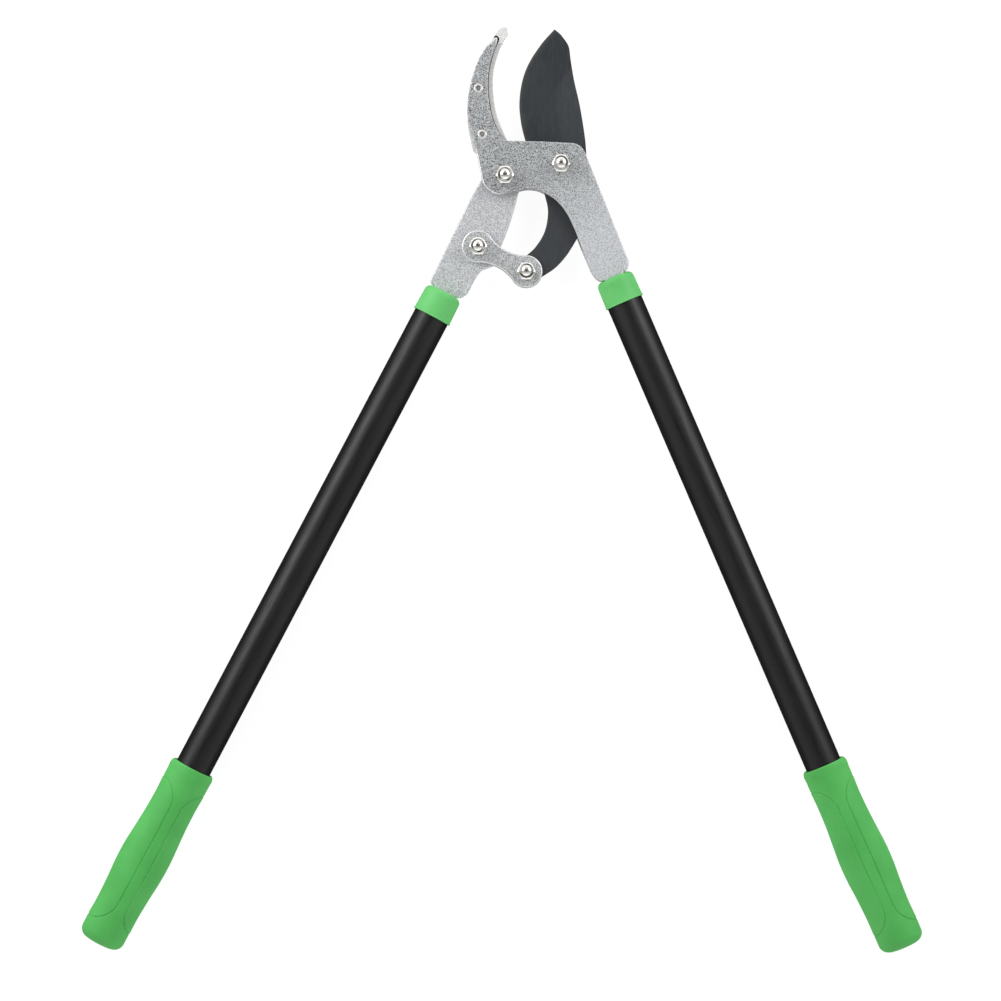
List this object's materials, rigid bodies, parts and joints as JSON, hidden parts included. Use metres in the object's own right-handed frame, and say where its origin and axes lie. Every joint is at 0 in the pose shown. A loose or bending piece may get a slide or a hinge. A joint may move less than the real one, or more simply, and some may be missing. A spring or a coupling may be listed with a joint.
{
  "type": "bypass loppers",
  "caption": "Compound-action bypass loppers: a curved blade passes a toothed hook, driven by a lever and links, on long tube handles with moulded grips.",
  "frame": {"origin": "on the main pivot's axis, at the flat underside of the pivot bolt's head, with the loppers lying on their back", "axes": "+Y towards the jaws, +Z towards the acorn nuts, +X to the right when the jaws point away"},
  "size_m": [0.6462, 0.711, 0.0403],
  "materials": {
    "silver_paint": "silver hammertone paint on punched steel plate",
    "pale_silver_paint": "paler silver hammertone paint on punched steel plate",
    "bright_steel": "bright ground steel",
    "dark_blade_coating": "satin dark non-stick coating on blade steel",
    "bright_nickel": "polished nickel plate",
    "bronze": "plain sintered bronze",
    "black_paint": "satin black paint on steel tube",
    "green_collar_plastic": "moulded plastic, satin",
    "green_grip_rubber": "moulded soft grip, satin",
    "black_nylon": "plain moulded nylon"
  },
  "bodies": {
    "hook_frame": {"hook_plate": "silver_paint", "rear_cheek_plate": "silver_paint", "hook_insert": "bright_steel", "upper_rivet": "bright_nickel", "lower_rivet": "bright_nickel", "main_pivot_bolt": "bright_nickel", "main_pivot_nut": "bright_nickel", "main_pivot_front_spacer": "bright_nickel", "main_pivot_rear_spacer": "bright_nickel", "main_pivot_head_washer": "bright_nickel", "handle_pivot_bolt": "bright_nickel", "handle_pivot_nut": "bright_nickel", "handle_pivot_front_spacer": "bright_nickel", "handle_pivot_rear_spacer": "bright_nickel", "handle_pivot_head_washer": "bright_nickel", "right_collar": "green_collar_plastic", "right_tube": "black_paint", "right_grip": "green_grip_rubber", "right_tang_plug": "black_nylon", "right_tang_pin": "bright_nickel"},
    "lever": {"lever_plate": "pale_silver_paint", "lever_bush": "bronze", "lever_link_bolt": "bright_nickel", "lever_link_nut": "bright_nickel", "left_collar": "green_collar_plastic", "left_tube": "black_paint", "left_grip": "green_grip_rubber", "left_tang_plug": "black_nylon", "left_tang_pin": "bright_nickel"},
    "blade": {"blade": "dark_blade_coating", "blade_bush": "bronze"},
    "link": {"front_link": "silver_paint", "rear_link": "silver_paint", "blade_link_bolt": "bright_nickel", "blade_link_nut": "bright_nickel"}
  },
  "joints": [
    {"name": "handle_pivot", "type": "hinge", "parent": "hook_frame", "child": "lever", "pos_m": [-0.043, -0.0088, 0.0163], "axis": [0, 0, 1], "range_deg": [-8, 36]},
    {"name": "blade_pivot", "type": "hinge", "parent": "hook_frame", "child": "blade", "pos_m": [0, 0, 0.0163], "axis": [0, 0, 1], "range_deg": [-5.5, 24.1]},
    {"name": "link_pivot", "type": "hinge", "parent": "lever", "child": "link", "pos_m": [-0.0637, -0.0632, 0.0163], "axis": [0, 0, 1], "range_deg": [-37.9, 8.5]}
  ],
  "couplings": [
    {"joint": "blade_pivot", "follows": "handle_pivot", "ratio": 0.665},
    {"joint": "link_pivot", "follows": "handle_pivot", "ratio": -1.05}
  ]
}
